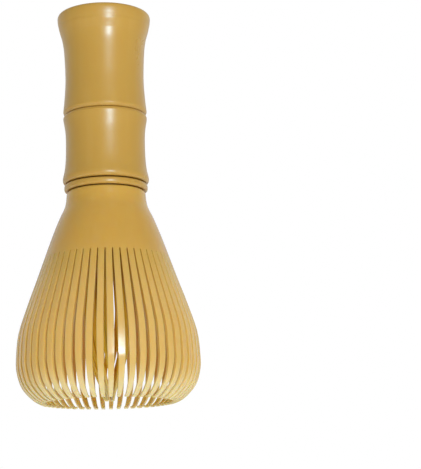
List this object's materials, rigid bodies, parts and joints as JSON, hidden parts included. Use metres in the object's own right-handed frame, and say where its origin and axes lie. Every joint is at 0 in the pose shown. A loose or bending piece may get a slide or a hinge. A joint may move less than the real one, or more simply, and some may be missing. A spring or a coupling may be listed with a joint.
{
  "type": "tea whisk",
  "caption": "Hand whisk for powdered tea, with a hollow flared grip and a screw-on head of fine curved tines round a slim inner bundle.",
  "frame": {"origin": "on the whisk's axis, at the tips of the outer tines", "axes": "+Z along the axis from the tine tips to the grip's rim, -Y towards the viewer"},
  "size_m": [0.0524, 0.0524, 0.115],
  "materials": {
    "grip_plastic": "glossy moulded plastic, mustard tan",
    "whisk_plastic": "glossy moulded plastic, mustard tan, lighter where thin"
  },
  "bodies": {
    "grip": {"grip_upper": "grip_plastic", "grip_lower": "grip_plastic"},
    "ring": {"collar_ring": "grip_plastic"},
    "head": {"outer_whisk": "whisk_plastic", "inner_whisk": "whisk_plastic"}
  },
  "joints": [
    {"name": "ring_drop", "type": "slide", "parent": "grip", "child": "ring", "axis": [0, 0, -1], "range_m": [0, 0.009]},
    {"name": "head_turn", "type": "hinge", "parent": "ring", "child": "head", "pos_m": [0, 0, 0.061], "axis": [0, 0, -1], "range_deg": [0, 1080]}
  ],
  "couplings": [
    {"joint": "ring_drop", "follows": "head_turn", "m_per_rad": 0.00047746}
  ]
}
